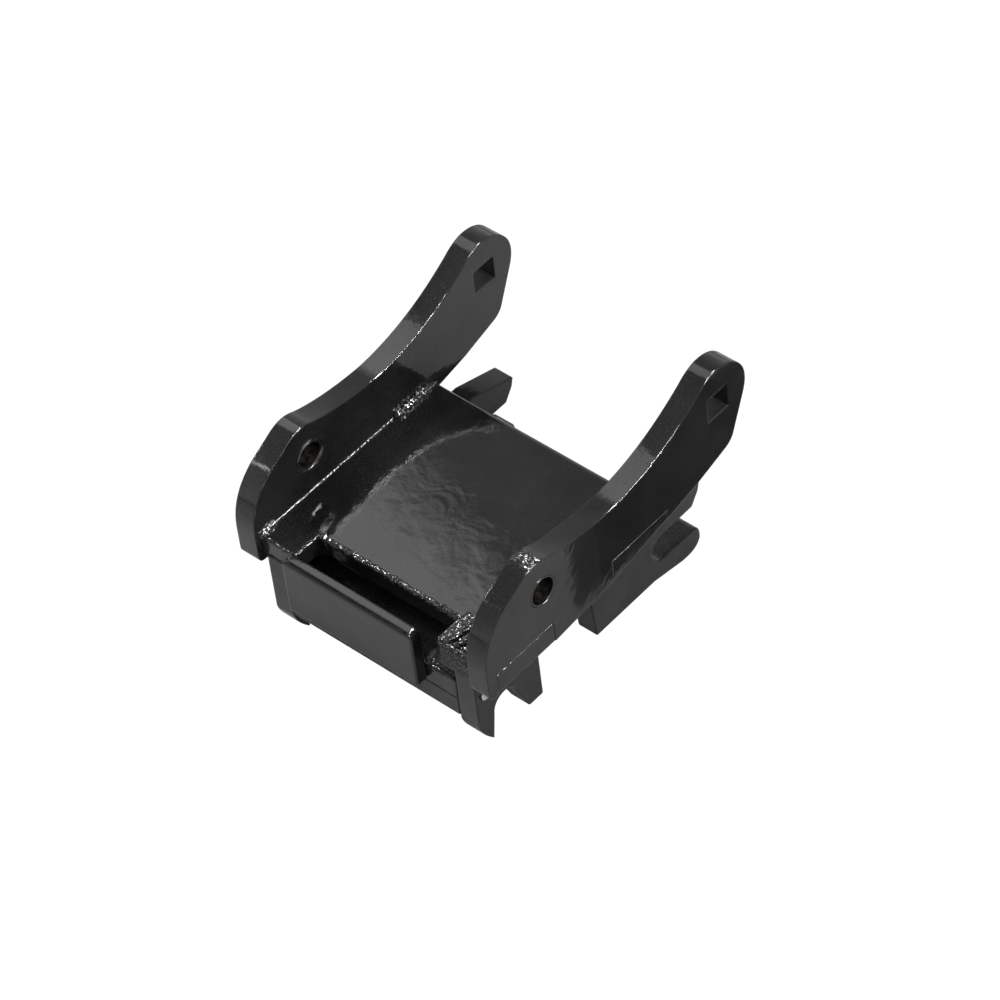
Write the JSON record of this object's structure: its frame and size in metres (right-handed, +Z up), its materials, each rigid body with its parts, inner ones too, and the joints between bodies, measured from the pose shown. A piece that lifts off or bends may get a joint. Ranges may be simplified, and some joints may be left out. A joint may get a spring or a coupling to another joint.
{
  "type": "quick coupler",
  "caption": "Pin-grabbing quick coupler: a deck between boomerang side plates, front jaws, rear hooks and a screw-driven lock slide.",
  "frame": {"origin": "on the floor, under the middle of the coupler's box", "axes": "+X across to the right, +Y from the front jaws to the rear hooks, +Z up, square to the deck"},
  "size_m": [0.326, 0.4016, 0.2562],
  "materials": {
    "black_enamel": "glossy black enamel over flame-cut plate, light orange peel",
    "bronze": "machined bearing bronze",
    "zinc_plate": "bright zinc plate",
    "bright_steel": "turned steel, lightly oiled",
    "black_oxide": "black oxide steel"
  },
  "bodies": {
    "frame": {"left_side_plate": "black_enamel", "left_pin_bush": "bronze", "left_jaw_plate": "black_enamel", "left_jaw_dowel": "zinc_plate", "left_hook_plate": "black_enamel", "left_guide_rail": "black_enamel", "right_side_plate": "black_enamel", "right_pin_bush": "bronze", "right_jaw_plate": "black_enamel", "right_jaw_dowel": "zinc_plate", "right_hook_plate": "black_enamel", "right_guide_rail": "black_enamel", "deck_plate": "black_enamel", "front_shelf_plate": "black_enamel", "front_lip_bar": "black_enamel", "front_guard_plate": "black_enamel", "screw_cross_plate": "black_enamel", "front_thrust_washer": "bronze", "rear_thrust_washer": "bronze", "rail_bolt_1": "black_oxide", "rail_bolt_2": "black_oxide", "rail_bolt_3": "black_oxide", "rail_bolt_4": "black_oxide"},
    "slide": {"lock_slide": "black_oxide", "slide_nut": "bronze"},
    "screw": {"lead_screw": "bright_steel", "thrust_collar": "bright_steel"}
  },
  "joints": [
    {"name": "screw_turn", "type": "hinge", "parent": "frame", "child": "screw", "pos_m": [0, 0.03349, 0.06], "axis": [0, 1, 0], "range_deg": [0, 3600.1]},
    {"name": "lock_travel", "type": "slide", "parent": "frame", "child": "slide", "axis": [0, -1, 0], "range_m": [0, 0.04]}
  ],
  "couplings": [
    {"joint": "screw_turn", "follows": "lock_travel", "rad_per_m": 1570.8}
  ]
}
